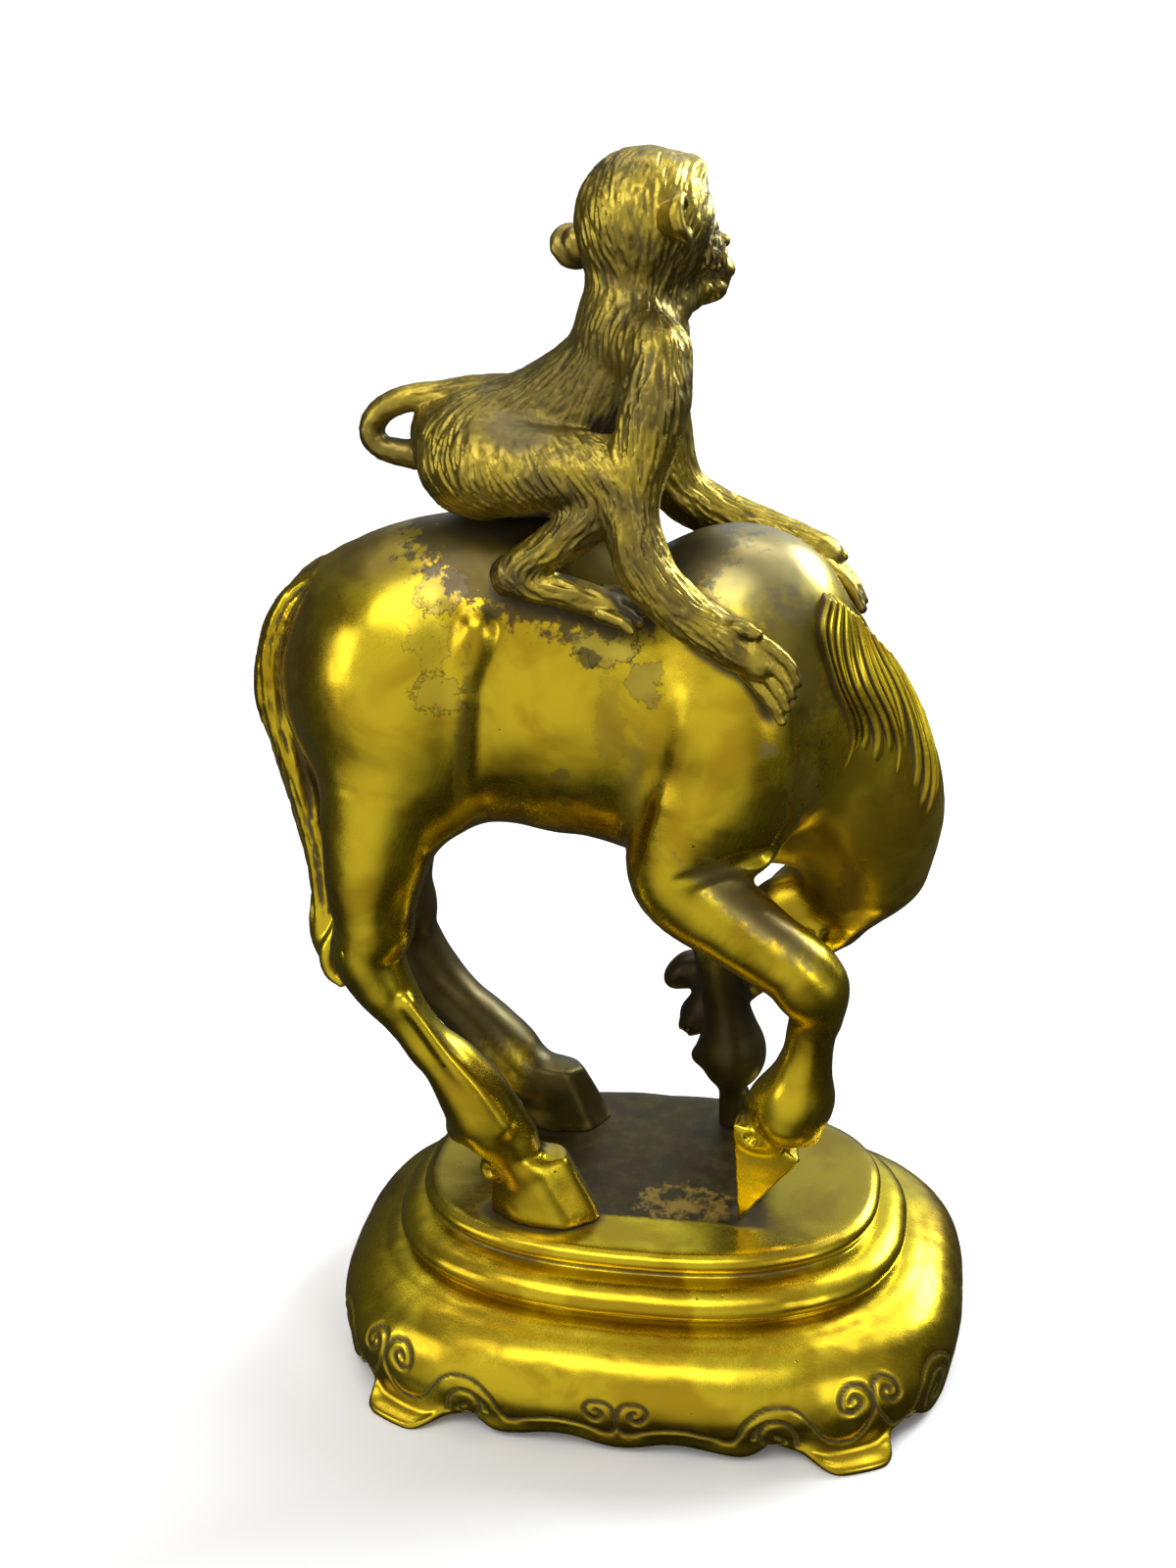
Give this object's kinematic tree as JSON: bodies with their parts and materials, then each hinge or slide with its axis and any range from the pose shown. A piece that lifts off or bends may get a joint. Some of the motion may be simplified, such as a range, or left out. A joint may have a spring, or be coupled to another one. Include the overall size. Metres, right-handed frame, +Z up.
{
  "type": "animal statuette",
  "caption": "Cast bronze statuette of a monkey crouching on the back of a bowing horse, on a stepped oblong plinth with scalloped hem and scroll feet.",
  "frame": {"origin": "middle of the statue's outline on the surface it stands on", "axes": "+Z up, +X the way the horse's body faces, +Y the horse's left side"},
  "size_m": [0.1754, 0.1176, 0.2998],
  "materials": {
    "horse_bronze": "satin polished, brown patina in the hollows",
    "monkey_bronze": "olive brown patina with rubbed ridges",
    "plinth_bronze": "satin polished, brown patina on the deck"
  },
  "bodies": {
    "root": {"plinth": "plinth_bronze", "horse": "horse_bronze", "monkey": "monkey_bronze"}
  },
  "joints": []
}
